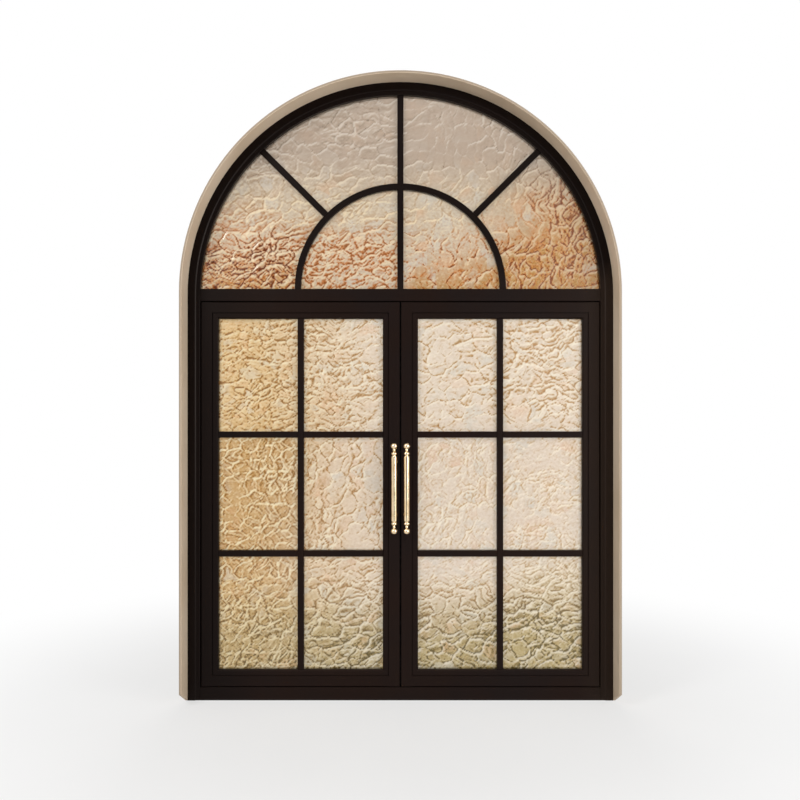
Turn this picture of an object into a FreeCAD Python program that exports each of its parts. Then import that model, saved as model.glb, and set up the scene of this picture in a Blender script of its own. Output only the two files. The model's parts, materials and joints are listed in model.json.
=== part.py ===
import FreeCAD, Part
import os
import Sketcher

Vector = FreeCAD.Vector
doc = FreeCAD.newDocument("arched_double_door")

# Driving sizes, in millimetres and degrees.
size = doc.addObject("Spreadsheet::Sheet", "Size")
driving_sizes = {
    "reveal_half_width": 1170,
    "springline_height": 2230,
    "frame_depth": 70,
    "frame_face": 68,
    "border_face": 40,
    "border_bevel": 6,
    "border_rise": 4,
    "lip_depth": 30,
    "rebate_width": 18,
    "edge_arris": 2.5,
    "transom_height": 68,
    "threshold_height": 70,
    "joint_clearance": 0.1,
    "lining_thickness": 12,
    "lining_projection": 150,
    "lining_arris": 3,
    "lining_foot_rise": 78,
    "fixing_hole_radius": 5.5,
    "fixing_foot_distance": 250,
    "fixing_head_distance": 180,
    "leaf_gap": 6,
    "flange_gap": 6,
    "meeting_gap": 8,
    "stile_face": 60,
    "rail_face": 57,
    "glazing_lip_thickness": 20,
    "glass_thickness": 10,
    "glass_overlap": 18,
    "glass_edge_gap": 2,
    "bead_face": 33,
    "bead_depth": 24,
    "bead_bevel": 7,
    "bead_arris": 2,
    "bar_width": 34,
    "bar_depth": 20,
    "fan_ring_radius": 566,
    "fan_spoke_angle": 45,
    "pull_height": 1170,
    "pull_length": 498,
    "pull_radius": 15,
    "pull_standoff": 60,
    "pull_rounding": 5,
    "finial_radius": 17.5,
    "finial_tip_radius": 1.5,
    "finial_foot_radius": 12,
    "neck_radius": 5.5,
    "neck_bead_radius": 8,
    "neck_bead_height": 20,
    "collar_radius": 15.5,
    "collar_rise": 4,
    "collar_height": 16,
    "groove_radius": 9,
    "groove_height": 4,
    "post_radius": 8,
    "post_spacing": 300,
    "rose_radius": 16,
    "rose_depth": 6,
    "rose_bevel": 2,
    "hinge_barrel_radius": 10,
    "hinge_pin_radius": 6,
    "hinge_pin_length": 44,
    "hinge_half_height": 60,
    "hinge_running_gap": 0.3,
    "hinge_bore_clearance": 0.05,
    "hinge_face_gap": 1,
    "hinge_wing_width": 42,
    "hinge_wing_thickness": 4,
    "hinge_end_distance": 260,
}
for row, (alias, value) in enumerate(driving_sizes.items(), start=1):
    size.set(f"A{row}", alias.replace("_", " "))
    size.set(f"B{row}", str(value))
    size.setAlias(f"B{row}", alias)

# Positions that follow from the driving sizes. X runs right, Y into the opening, Z up.
place = doc.addObject("Spreadsheet::Sheet", "Place")
derived_places = {
    "front_y": "-Size.frame_depth / 2",
    "back_y": "Size.frame_depth / 2",
    "border_y": "front_y - Size.border_rise",
    "lip_back_y": "front_y + Size.lip_depth",
    "lining_front_y": "front_y - Size.lining_projection",
    "lining_outer_x": "Size.reveal_half_width + Size.lining_thickness",
    "border_x": "Size.reveal_half_width - Size.border_face",
    "lip_x": "Size.reveal_half_width - Size.frame_face",
    "wall_x": "lip_x + Size.rebate_width",
    "transom_bottom_z": "Size.springline_height - Size.transom_height / 2",
    "transom_top_z": "Size.springline_height + Size.transom_height / 2",
    "transom_back_half": "Size.transom_height / 2 - Size.rebate_width",
    "transom_lip_half": "sqrt(lip_x ^ 2 - (Size.transom_height / 2) ^ 2) - Size.joint_clearance",
    "transom_wall_half": "sqrt(wall_x ^ 2 - transom_back_half ^ 2) - Size.joint_clearance",
    "transom_bead_half": "sqrt(wall_x ^ 2 - (Size.transom_height / 2) ^ 2) - Size.joint_clearance",
    "threshold_back_z": "Size.threshold_height - Size.rebate_width",
    "fixing_high_z": "Size.springline_height - Size.fixing_head_distance",
    "fixing_step": "(fixing_high_z - Size.fixing_foot_distance) / 3",
    "leaf_x": "lip_x - Size.leaf_gap",
    "flange_x": "wall_x - Size.leaf_gap",
    "flange_y": "lip_back_y + Size.flange_gap",
    "meet_x": "Size.meeting_gap / 2",
    "leaf_bottom_z": "Size.threshold_height + Size.leaf_gap",
    "leaf_top_z": "transom_bottom_z - Size.leaf_gap",
    "flange_bottom_z": "threshold_back_z + Size.leaf_gap",
    "flange_top_z": "leaf_top_z + Size.rebate_width",
    "hinge_stile_x": "leaf_x - Size.stile_face",
    "meet_stile_x": "meet_x + Size.stile_face",
    "low_rail_z": "leaf_bottom_z + Size.rail_face",
    "high_rail_z": "leaf_top_z - Size.rail_face",
    "sight_in_x": "meet_stile_x + Size.bead_face",
    "sight_out_x": "hinge_stile_x - Size.bead_face",
    "sight_low_z": "low_rail_z + Size.bead_face",
    "sight_high_z": "high_rail_z - Size.bead_face",
    "glass_front_y": "-Size.glass_thickness / 2",
    "glass_back_y": "Size.glass_thickness / 2",
    "lip_y": "glass_back_y + Size.glazing_lip_thickness",
    "bar_front_y": "glass_front_y - Size.bar_depth",
    "bar_back_y": "glass_back_y + Size.bar_depth",
    "bead_front_y": "glass_front_y - Size.bead_depth",
    "bead_back_y": "glass_back_y + Size.bead_depth",
    "bar_in_x": "(sight_in_x + sight_out_x - Size.bar_width) / 2",
    "bar_out_x": "bar_in_x + Size.bar_width",
    "pane_height": "(sight_high_z - sight_low_z - 2 * Size.bar_width) / 3",
    "low_bar_z": "sight_low_z + pane_height",
    "high_bar_z": "low_bar_z + Size.bar_width + pane_height",
    "fan_glass_radius": "wall_x - Size.glass_edge_gap",
    "fan_glass_low_z": "Size.springline_height + transom_back_half + Size.glass_edge_gap",
    "ring_in_radius": "Size.fan_ring_radius - Size.bar_width / 2",
    "ring_out_radius": "Size.fan_ring_radius + Size.bar_width / 2",
    "pull_x": "(meet_x + meet_stile_x) / 2",
    "finial_z": "Size.pull_length / 2 - sqrt(Size.finial_radius ^ 2 - Size.finial_tip_radius ^ 2)",
    "neck_z": "finial_z - sqrt(Size.finial_radius ^ 2 - Size.finial_foot_radius ^ 2)",
    "collar_z": "neck_z - Size.neck_bead_height",
    "groove_z": "collar_z - Size.collar_height",
    "tube_z": "groove_z - Size.groove_height",
    "neck_bead_rise": "Size.neck_bead_radius - Size.neck_radius",
    "neck_bead_arc": "((Size.neck_bead_height / 2) ^ 2 + neck_bead_rise ^ 2) / (2 * neck_bead_rise)",
    "collar_end_radius": "Size.collar_radius - Size.collar_rise",
    "collar_arc": "((Size.collar_height / 2) ^ 2 + Size.collar_rise ^ 2) / (2 * Size.collar_rise)",
    "rounding_inset": "Size.pull_rounding * (1 - sqrt(0.5))",
    "hinge_x": "(wall_x + flange_x) / 2",
    "hinge_y": "back_y + Size.hinge_barrel_radius + Size.hinge_face_gap",
    "hinge_wing_y": "back_y + Size.hinge_wing_thickness",
    "hinge_bore_radius": "Size.hinge_pin_radius + Size.hinge_bore_clearance",
    "hinge_low_z": "leaf_bottom_z + Size.hinge_end_distance",
    "hinge_high_z": "leaf_top_z - Size.hinge_end_distance",
    "hinge_mid_z": "(hinge_low_z + hinge_high_z) / 2",
}
for row, (alias, formula) in enumerate(derived_places.items(), start=1):
    place.set(f"A{row}", alias.replace("_", " "))
    place.set(f"B{row}", "=" + formula)
    place.setAlias(f"B{row}", alias)
doc.recompute()

pieces = []


def keep(item, label):
    item.Label = label
    pieces.append(item)
    return item


def bind(item, **formulas):
    for name, formula in formulas.items():
        item.setExpression(name.replace("__", "."), formula)
    return item


def number(formula):
    return float(place.evalExpression(formula))


def new_body(name, **formulas):
    return bind(doc.addObject("PartDesign::Body", name), **formulas)


def new_sketch(body, plane, offset=None):
    sketch = body.newObject("Sketcher::SketchObject", body.Name + "_sketch")
    plane_feature = next(item for item in body.Origin.OriginFeatures if item.Role == plane)
    sketch.AttachmentSupport = (plane_feature, [""])
    sketch.MapMode = "FlatFace"
    if offset:
        sketch.setExpression("AttachmentOffset.Base.z", offset)
    return sketch


def pins(edge, end, x, y):
    return [
        (Sketcher.Constraint("DistanceX", -1, 1, edge, end, number(x)), x),
        (Sketcher.Constraint("DistanceY", -1, 1, edge, end, number(y)), y),
    ]


def constrain(sketch, rules):
    first = sketch.ConstraintCount
    sketch.addConstraint([rule for rule, _ in rules])
    for index, (_, formula) in enumerate(rules, start=first):
        if formula:
            sketch.setExpression(f"Constraints[{index}]", formula)


def outline(body, plane, corners, offset=None, bulges=None):
    sketch = new_sketch(body, plane, offset)
    bulges = bulges or {}
    points = [Vector(number(x), number(y), 0) for x, y in corners]
    count = len(points)
    ends = []
    for edge in range(count):
        start = points[edge]
        end = points[(edge + 1) % count]
        if edge in bulges:
            through_x, through_y, _ = bulges[edge]
            through = Vector(number(through_x), number(through_y), 0)
            sketch.addGeometry(Part.Arc(start, through, end))
            turns_left = (through - start).cross(end - through).z > 0
            ends.append((1, 2) if turns_left else (2, 1))
        else:
            sketch.addGeometry(Part.LineSegment(start, end))
            ends.append((1, 2))
    rules = []
    for edge, (x, y) in enumerate(corners):
        following = (edge + 1) % count
        joint = Sketcher.Constraint("Coincident", edge, ends[edge][1], following, ends[following][0])
        rules.append((joint, None))
        rules.extend(pins(edge, ends[edge][0], x, y))
    for edge, (_, _, radius) in bulges.items():
        rules.append((Sketcher.Constraint("Radius", edge, number(radius)), radius))
    constrain(sketch, rules)
    return sketch


def pad(body, sketch, length, symmetric=False):
    feature = body.newObject("PartDesign::Pad", body.Name + "_pad")
    feature.Profile = sketch
    feature.SideType = "Symmetric" if symmetric else "One side"
    return bind(feature, Length=length)


def revolve(body, sketch, angle):
    feature = body.newObject("PartDesign::Revolution", body.Name + "_turn")
    feature.Profile = sketch
    feature.ReferenceAxis = (sketch, ["V_Axis"])
    feature.Angle = angle
    feature.Reversed = True
    return feature


def rectangle(x0, x1, y0, y1):
    return [(x0, y0), (x1, y0), (x1, y1), (x0, y1)]


def eased_block(x0, x1, y0, y1):
    arris = "Size.edge_arris"
    return [
        (f"{x0} + {arris}", y0),
        (f"{x1} - {arris}", y0),
        (x1, f"{y0} + {arris}"),
        (x1, f"{y1} - {arris}"),
        (f"{x1} - {arris}", y1),
        (f"{x0} + {arris}", y1),
        (x0, f"{y1} - {arris}"),
        (x0, f"{y0} + {arris}"),
    ]


def eased_bar(x0, x1, seat, face, inward):
    arris = "Size.edge_arris"
    return [
        (x0, seat),
        (x1, seat),
        (x1, f"{face} {inward} {arris}"),
        (f"{x1} - {arris}", face),
        (f"{x0} + {arris}", face),
        (x0, f"{face} {inward} {arris}"),
    ]


def box(name, x0, x1, y0, y1, z0, z1):
    item = doc.addObject("Part::Box", name)
    bind(item, Length=f"({x1}) - ({x0})", Width=f"({y1}) - ({y0})", Height=f"({z1}) - ({z0})")
    return bind(item, Placement__Base__x=x0, Placement__Base__y=y0, Placement__Base__z=z0)


def disc(name, radius, centre_z, y0, y1):
    item = doc.addObject("Part::Cylinder", name)
    item.Placement = FreeCAD.Placement(Vector(), FreeCAD.Rotation(Vector(1, 0, 0), 90))
    bind(item, Radius=radius, Height=f"({y1}) - ({y0})")
    return bind(item, Placement__Base__y=y1, Placement__Base__z=centre_z)


def upright(name, radius, x, y, z0, z1):
    item = doc.addObject("Part::Cylinder", name)
    bind(item, Radius=radius, Height=f"({z1}) - ({z0})")
    return bind(item, Placement__Base__x=x, Placement__Base__y=y, Placement__Base__z=z0)


def cut(name, base, tool):
    item = doc.addObject("Part::Cut", name)
    item.Base = base
    item.Tool = tool
    return item


def common(name, *shapes):
    item = doc.addObject("Part::MultiCommon", name)
    item.Shapes = list(shapes)
    return item


def fuse(name, *shapes):
    item = doc.addObject("Part::MultiFuse", name)
    item.Shapes = list(shapes)
    item.Refine = True
    return item


def group(name, items):
    item = doc.addObject("Part::Compound", name)
    item.Links = list(items)
    return item


def mirror(source, label):
    item = doc.addObject("Part::Mirroring", label)
    item.Source = source
    item.Base = Vector()
    item.Normal = Vector(1, 0, 0)
    return keep(item, label)


def drill_fixings(body):
    sketch = new_sketch(body, "YZ_Plane")
    middle = "(Place.lip_back_y + Place.back_y) / 2"
    heights = [
        "Size.fixing_foot_distance",
        "Size.fixing_foot_distance + Place.fixing_step",
        "Place.fixing_high_z - Place.fixing_step",
        "Place.fixing_high_z",
    ]
    radius = "Size.fixing_hole_radius"
    rules = []
    for edge, height in enumerate(heights):
        centre = Vector(number(middle), number(height), 0)
        sketch.addGeometry(Part.Circle(centre, Vector(0, 0, 1), number(radius)))
        rules.extend(pins(edge, 3, middle, height))
        rules.append((Sketcher.Constraint("Radius", edge, number(radius)), radius))
    constrain(sketch, rules)
    holes = body.newObject("PartDesign::Pocket", body.Name + "_holes")
    holes.Profile = sketch
    holes.Type = "ThroughAll"
    holes.Reversed = True


# Frame: jambs and arch share one rebated section with a raised outer border.
frame_section = [
    ("Place.lip_x", "Place.front_y + Size.edge_arris"),
    ("Place.lip_x + Size.edge_arris", "Place.front_y"),
    ("Place.border_x - Size.border_bevel", "Place.front_y"),
    ("Place.border_x", "Place.border_y"),
    ("Size.reveal_half_width", "Place.border_y"),
    ("Size.reveal_half_width", "Place.back_y"),
    ("Place.wall_x", "Place.back_y"),
    ("Place.wall_x", "Place.lip_back_y"),
    ("Place.lip_x", "Place.lip_back_y"),
]
jamb = new_body("jamb")
pad(jamb, outline(jamb, "XY_Plane", frame_section), "Size.springline_height")
drill_fixings(jamb)
keep(jamb, "right_jamb")
mirror(jamb, "left_jamb")

arch = new_body("arch", Placement__Base__z="Size.springline_height")
revolve(arch, outline(arch, "XY_Plane", frame_section), 180)
keep(arch, "arch_head")

transom = new_body("transom", Placement__Base__z="Size.springline_height")
half_transom = "Size.transom_height / 2"
transom_lip = [
    (y, z) for z, y in eased_bar(f"-{half_transom}", half_transom, "Place.lip_back_y", "Place.front_y", "+")
]
pad(transom, outline(transom, "YZ_Plane", transom_lip), "2 * Place.transom_lip_half", symmetric=True)
back_half = "Place.transom_back_half"
transom_back = rectangle("Place.lip_back_y", "Place.back_y", f"-{back_half}", back_half)
pad(transom, outline(transom, "YZ_Plane", transom_back), "2 * Place.transom_wall_half", symmetric=True)
keep(transom, "transom_rail")

threshold = new_body("sill")
threshold_lip = [
    ("Place.front_y", "0"),
    ("Place.lip_back_y", "0"),
    ("Place.lip_back_y", "Size.threshold_height"),
    ("Place.front_y + Size.edge_arris", "Size.threshold_height"),
    ("Place.front_y", "Size.threshold_height - Size.edge_arris"),
]
pad(threshold, outline(threshold, "YZ_Plane", threshold_lip), "2 * Place.lip_x", symmetric=True)
threshold_back = rectangle("Place.lip_back_y", "Place.back_y", "0", "Place.threshold_back_z")
pad(threshold, outline(threshold, "YZ_Plane", threshold_back), "2 * Place.wall_x", symmetric=True)
keep(threshold, "threshold")

# Reveal lining: a painted board round the outside of the frame, standing forward of it.
lining_section = [
    ("Size.reveal_half_width", "Place.back_y"),
    ("Size.reveal_half_width", "Place.lining_front_y + Size.lining_arris"),
    ("Size.reveal_half_width + Size.lining_arris", "Place.lining_front_y"),
    ("Place.lining_outer_x", "Place.lining_front_y"),
    ("Place.lining_outer_x", "Place.back_y"),
]
lining = new_body("lining")
pad(lining, outline(lining, "XY_Plane", lining_section), "Size.springline_height")
drill_fixings(lining)
foot_wedge = [
    ("Place.lining_front_y", "0"),
    ("Place.front_y", "0"),
    ("Place.lining_front_y", "Size.lining_foot_rise"),
]
splay = lining.newObject("PartDesign::Pocket", "lining_foot_splay")
splay.Profile = outline(lining, "YZ_Plane", foot_wedge)
splay.Type = "ThroughAll"
splay.Reversed = True
keep(lining, "reveal_lining_right")
mirror(lining, "reveal_lining_left")

lining_arch = new_body("lining_arch", Placement__Base__z="Size.springline_height")
revolve(lining_arch, outline(lining_arch, "XY_Plane", lining_section), 180)
keep(lining_arch, "reveal_lining_arch")

# Fanlight: one half-round sheet of glass with bars on both of its faces.
spring_z = "Size.springline_height"
fan_sheet = disc("fan_sheet", "Place.fan_glass_radius", spring_z, "Place.glass_front_y", "Place.glass_back_y")
above_transom = box(
    "above_transom",
    "-Size.reveal_half_width",
    "Size.reveal_half_width",
    "Place.glass_front_y",
    "Place.glass_back_y",
    "Place.fan_glass_low_z",
    "Size.springline_height + Size.reveal_half_width",
)
fan_glass = keep(common("fan_glass", fan_sheet, above_transom), "fanlight_glass")

half_bar = "Size.bar_width / 2"
bar_depths = ("Place.bar_front_y", "Place.bar_back_y")
daylight = disc("fan_daylight", "Place.lip_x", spring_z, *bar_depths)
mullion_blank = new_body("mullion_blank")
mullion_section = eased_block(f"-{half_bar}", half_bar, *bar_depths)
mullion_sketch = outline(mullion_blank, "XY_Plane", mullion_section, "Place.transom_top_z")
pad(mullion_blank, mullion_sketch, "Size.reveal_half_width")
keep(cut("mullion", common("mullion_bar", mullion_blank, daylight), fan_glass), "fanlight_mullion")

ring_z = "Place.transom_top_z"
ring_disc = disc("ring_disc", "Place.ring_out_radius", ring_z, *bar_depths)
ring_arc = new_body("ring_arc", Placement__Base__z=ring_z)
ring_section = eased_block("Place.ring_in_radius", "Place.ring_out_radius", *bar_depths)
revolve(ring_arc, outline(ring_arc, "XY_Plane", ring_section), 180)
keep(cut("ring", cut("ring_quarters", ring_arc, mullion_blank), fan_glass), "fanlight_ring")

spoke_blank = new_body("spoke_blank", Placement__Base__z=ring_z)
spoke_section = [(y, z) for z, y in eased_block(f"-{half_bar}", half_bar, *bar_depths)]
pad(spoke_blank, outline(spoke_blank, "YZ_Plane", spoke_section), "Size.reveal_half_width")
spoke_blank.Placement.Rotation = FreeCAD.Rotation(Vector(0, -1, 0), 45)
bind(spoke_blank, Placement__Rotation__Angle="Size.fan_spoke_angle")
spoke_bar = common("spoke_bar", spoke_blank, daylight)
spoke = keep(cut("spoke", cut("spoke_coped", spoke_bar, ring_disc), fan_glass), "fanlight_right_spoke")
mirror(spoke, "fanlight_left_spoke")

bead_disc = disc("bead_disc", "Place.wall_x", spring_z, "Place.glass_back_y", "Place.bead_back_y")
bead_hole = disc("bead_hole", "Place.lip_x", spring_z, "Place.glass_back_y", "Place.bead_back_y")
bead_half = box(
    "bead_half",
    "-Size.reveal_half_width",
    "Size.reveal_half_width",
    "Place.glass_back_y",
    "Place.bead_back_y",
    "Place.transom_top_z",
    "Size.springline_height + Size.reveal_half_width",
)
keep(common("arch_bead", cut("bead_ring", bead_disc, bead_hole), bead_half), "arch_bead")
keep(
    box(
        "transom_bead",
        "-Place.transom_bead_half",
        "Place.transom_bead_half",
        "Place.glass_back_y",
        "Place.bead_back_y",
        "Size.springline_height + Place.transom_back_half",
        "Place.transom_top_z",
    ),
    "transom_bead",
)

# Leaf framing: stiles run through, rails fit between them, each with a lip behind the glass.
leaf_height = "Place.leaf_top_z - Place.leaf_bottom_z"
flange_height = "Place.flange_top_z - Place.flange_bottom_z"
lip_height = "Place.high_rail_z - Place.low_rail_z"
hinge_stile = new_body("hinge_stile")
stile_front = [
    ("Place.hinge_stile_x", "Place.front_y"),
    ("Place.leaf_x - Size.edge_arris", "Place.front_y"),
    ("Place.leaf_x", "Place.front_y + Size.edge_arris"),
    ("Place.leaf_x", "Place.flange_y"),
    ("Place.hinge_stile_x", "Place.flange_y"),
]
pad(hinge_stile, outline(hinge_stile, "XY_Plane", stile_front, "Place.leaf_bottom_z"), leaf_height)
stile_back = rectangle("Place.hinge_stile_x", "Place.flange_x", "Place.flange_y", "Place.back_y")
pad(hinge_stile, outline(hinge_stile, "XY_Plane", stile_back, "Place.flange_bottom_z"), flange_height)
stile_lip = rectangle("Place.sight_out_x", "Place.hinge_stile_x", "Place.glass_back_y", "Place.lip_y")
pad(hinge_stile, outline(hinge_stile, "XY_Plane", stile_lip, "Place.low_rail_z"), lip_height)
keep(hinge_stile, "right_hinge_stile")

meeting_stile = new_body("meeting_stile")
stile_front = [
    ("Place.meet_x + Size.edge_arris", "Place.front_y"),
    ("Place.meet_stile_x", "Place.front_y"),
    ("Place.meet_stile_x", "Place.flange_y"),
    ("Place.meet_x", "Place.flange_y"),
    ("Place.meet_x", "Place.front_y + Size.edge_arris"),
]
pad(meeting_stile, outline(meeting_stile, "XY_Plane", stile_front, "Place.leaf_bottom_z"), leaf_height)
stile_back = rectangle("Place.meet_x", "Place.meet_stile_x", "Place.flange_y", "Place.back_y")
pad(meeting_stile, outline(meeting_stile, "XY_Plane", stile_back, "Place.flange_bottom_z"), flange_height)
stile_lip = rectangle("Place.meet_stile_x", "Place.sight_in_x", "Place.glass_back_y", "Place.lip_y")
pad(meeting_stile, outline(meeting_stile, "XY_Plane", stile_lip, "Place.low_rail_z"), lip_height)
keep(meeting_stile, "right_meeting_stile")

rail_length = "Place.hinge_stile_x - Place.meet_stile_x"
lip_length = "Place.sight_out_x - Place.sight_in_x"
top_levels = ("Place.leaf_top_z", "Place.flange_top_z", "Place.high_rail_z", "Place.sight_high_z")
bottom_levels = ("Place.leaf_bottom_z", "Place.flange_bottom_z", "Place.low_rail_z", "Place.sight_low_z")
rail_levels = {"top_rail": (*top_levels, "-"), "bottom_rail": (*bottom_levels, "+")}
for name, (edge_z, flange_z, face_z, sight_z, inward) in rail_levels.items():
    rail = new_body(name)
    section = [
        ("Place.front_y + Size.edge_arris", edge_z),
        ("Place.front_y", f"{edge_z} {inward} Size.edge_arris"),
        ("Place.front_y", face_z),
        ("Place.back_y", face_z),
        ("Place.back_y", flange_z),
        ("Place.flange_y", flange_z),
        ("Place.flange_y", edge_z),
    ]
    pad(rail, outline(rail, "YZ_Plane", section, "Place.meet_stile_x"), rail_length)
    lip = rectangle("Place.glass_back_y", "Place.lip_y", face_z, sight_z)
    pad(rail, outline(rail, "YZ_Plane", lip, "Place.sight_in_x"), lip_length)
    keep(rail, "right_" + name)

leaf_glass = box(
    "leaf_glass",
    "Place.sight_in_x - Size.glass_overlap",
    "Place.sight_out_x + Size.glass_overlap",
    "Place.glass_front_y",
    "Place.glass_back_y",
    "Place.sight_low_z - Size.glass_overlap",
    "Place.sight_high_z + Size.glass_overlap",
)
keep(leaf_glass, "right_glass")

# Mitred beads with a splayed inner edge hold the glass from the front.
def bead_section(wall, sight, outward):
    inward = "-" if outward == "+" else "+"
    return [
        (wall, "Place.glass_front_y"),
        (sight, "Place.glass_front_y"),
        (sight, "Place.bead_front_y + Size.bead_bevel"),
        (f"{sight} {outward} Size.bead_bevel", "Place.bead_front_y"),
        (f"{wall} {inward} Size.bead_arris", "Place.bead_front_y"),
        (wall, "Place.bead_front_y + Size.bead_arris"),
    ]


def mitred_bead(name, section, plane, start, length, corners):
    moulding = new_body(name + "_moulding")
    pad(moulding, outline(moulding, plane, section, start), length)
    mitre = new_body(name + "_mitre")
    pad(mitre, outline(mitre, "XZ_Plane", corners, "-Place.glass_front_y"), "Size.bead_depth")
    return common(name, moulding, mitre)


side_edges = {
    "hinge_bead": ("Place.hinge_stile_x", "Place.sight_out_x", "+"),
    "meeting_bead": ("Place.meet_stile_x", "Place.sight_in_x", "-"),
}
side_beads = []
for name, (wall, sight, outward) in side_edges.items():
    section = bead_section(wall, sight, outward)
    corners = [
        (wall, "Place.low_rail_z"),
        (wall, "Place.high_rail_z"),
        (sight, "Place.sight_high_z"),
        (sight, "Place.sight_low_z"),
    ]
    side_beads.append(mitred_bead(name, section, "XY_Plane", "Place.low_rail_z", lip_height, corners))
keep(group("side_beads", side_beads), "right_side_beads")

end_edges = {
    "top_bead": ("Place.high_rail_z", "Place.sight_high_z", "+"),
    "bottom_bead": ("Place.low_rail_z", "Place.sight_low_z", "-"),
}
end_beads = []
for name, (wall, sight, outward) in end_edges.items():
    section = [(y, z) for z, y in bead_section(wall, sight, outward)]
    corners = [
        ("Place.meet_stile_x", wall),
        ("Place.hinge_stile_x", wall),
        ("Place.sight_out_x", sight),
        ("Place.sight_in_x", sight),
    ]
    end_beads.append(mitred_bead(name, section, "YZ_Plane", "Place.meet_stile_x", rail_length, corners))
keep(group("end_beads", end_beads), "right_end_beads")

# Glazing bars lie on both faces of the sheet; cross bars butt against the upright.
bar_faces = {
    "front": ("Place.glass_front_y", "Place.bar_front_y", "+"),
    "back": ("Place.glass_back_y", "Place.bar_back_y", "-"),
}
bar_spans = {
    "in": ("Place.sight_in_x", "Place.bar_in_x"),
    "out": ("Place.bar_out_x", "Place.sight_out_x"),
}
upright_bars = []
cross_bars = []
for name, (seat, face, inward) in bar_faces.items():
    bar = new_body(f"upright_{name}")
    section = eased_bar("Place.bar_in_x", "Place.bar_out_x", seat, face, inward)
    pad(bar, outline(bar, "XY_Plane", section, "Place.sight_low_z"), "Place.sight_high_z - Place.sight_low_z")
    upright_bars.append(bar)
    for level in ("Place.low_bar_z", "Place.high_bar_z"):
        section = [(y, z) for z, y in eased_bar(level, f"{level} + Size.bar_width", seat, face, inward)]
        for span, (x0, x1) in bar_spans.items():
            bar = new_body(f"cross_{name}_{span}")
            pad(bar, outline(bar, "YZ_Plane", section, x0), f"{x1} - {x0}")
            cross_bars.append(bar)
keep(group("upright_bar", upright_bars), "right_upright_bar")
keep(group("cross_bars", cross_bars), "right_cross_bars")

# Pull: a turned bar with ball finials, neck beads and round collars, the same profile at both ends.
pull_end = [
    ("0", "Size.pull_length / 2"),
    ("Size.finial_tip_radius", "Size.pull_length / 2"),
    ("Size.finial_foot_radius", "Place.neck_z"),
    ("Size.neck_radius", "Place.neck_z"),
    ("Size.neck_radius", "Place.collar_z"),
    ("Place.collar_end_radius", "Place.collar_z"),
    ("Place.collar_end_radius", "Place.groove_z"),
    ("Size.groove_radius", "Place.groove_z"),
    ("Size.groove_radius", "Place.tube_z"),
    ("Size.pull_radius - Size.pull_rounding", "Place.tube_z"),
    ("Size.pull_radius", "Place.tube_z - Size.pull_rounding"),
]
pull_profile = pull_end + [(x, f"-({y})") for x, y in reversed(pull_end)]
end_bulges = {
    1: ("Size.finial_radius", "Place.finial_z", "Size.finial_radius"),
    3: ("Size.neck_bead_radius", "(Place.neck_z + Place.collar_z) / 2", "Place.neck_bead_arc"),
    5: ("Size.collar_radius", "(Place.collar_z + Place.groove_z) / 2", "Place.collar_arc"),
    9: (
        "Size.pull_radius - Place.rounding_inset",
        "Place.tube_z - Place.rounding_inset",
        "Size.pull_rounding",
    ),
}
last_edge = 2 * len(pull_end) - 2
pull_bulges = dict(end_bulges)
for edge, (x, y, radius) in end_bulges.items():
    pull_bulges[last_edge - edge] = (x, f"-({y})", radius)

pull_places = {
    "front": "Place.front_y - Size.pull_standoff",
    "back": "Place.back_y + Size.pull_standoff",
}
post_faces = {"front": ("Place.front_y", 180), "back": ("Place.back_y", 0)}
posts = []
for face, axis_y in pull_places.items():
    pull = new_body(
        f"{face}_pull",
        Placement__Base__x="Place.pull_x",
        Placement__Base__y=axis_y,
        Placement__Base__z="Size.pull_height",
    )
    revolve(pull, outline(pull, "XZ_Plane", pull_profile, bulges=pull_bulges), 360)
    keep(pull, f"right_{face}_pull")
    face_y, turn = post_faces[face]
    for sign in "+-":
        post = new_body(f"{face}_post")
        post.Placement.Rotation = FreeCAD.Rotation(Vector(0, 0, 1), turn)
        bind(
            post,
            Placement__Base__x="Place.pull_x",
            Placement__Base__y=face_y,
            Placement__Base__z=f"Size.pull_height {sign} Size.post_spacing / 2",
        )
        profile = [
            ("0", "0"),
            ("Size.rose_radius", "0"),
            ("Size.rose_radius", "Size.rose_depth - Size.rose_bevel"),
            ("Size.rose_radius - Size.rose_bevel", "Size.rose_depth"),
            ("Size.post_radius", "Size.rose_depth"),
            ("Size.post_radius", "Size.pull_standoff"),
            ("0", "Size.pull_standoff"),
        ]
        revolve(post, outline(post, "XY_Plane", profile), 360)
        posts.append(cut(f"{face}_post_end", post, pull))
keep(group("pull_posts", posts), "right_pull_posts")

# Lift-off hinges: a pin half on the jamb and a sleeve half on the leaf.
pin_halves = []
sleeve_halves = []
for level in ("Place.hinge_low_z", "Place.hinge_mid_z", "Place.hinge_high_z"):
    foot = f"{level} - Size.hinge_half_height"
    head = f"{level} + Size.hinge_half_height"
    seat = f"{level} + Size.hinge_running_gap"
    axis = ("Place.hinge_x", "Place.hinge_y")
    barrel = upright("pin_barrel", "Size.hinge_barrel_radius", *axis, foot, level)
    pin = upright("pin", "Size.hinge_pin_radius", *axis, foot, f"{level} + Size.hinge_pin_length")
    wing_end = "Place.hinge_x + Size.hinge_wing_width"
    wing = box("jamb_wing", "Place.hinge_x", wing_end, "Place.back_y", "Place.hinge_wing_y", foot, level)
    pin_halves.append(fuse("pin_half", barrel, pin, wing))
    barrel = upright("sleeve_barrel", "Size.hinge_barrel_radius", *axis, seat, head)
    wing_end = "Place.hinge_x - Size.hinge_wing_width"
    wing = box("leaf_wing", wing_end, "Place.hinge_x", "Place.back_y", "Place.hinge_wing_y", seat, head)
    bore_end = f"{seat} + Size.hinge_pin_length"
    bore = upright("sleeve_bore", "Place.hinge_bore_radius", *axis, level, bore_end)
    sleeve_halves.append(cut("sleeve_half", fuse("sleeve_body", barrel, wing), bore))
keep(group("hinge_pins", pin_halves), "right_hinge_pins")
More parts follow.
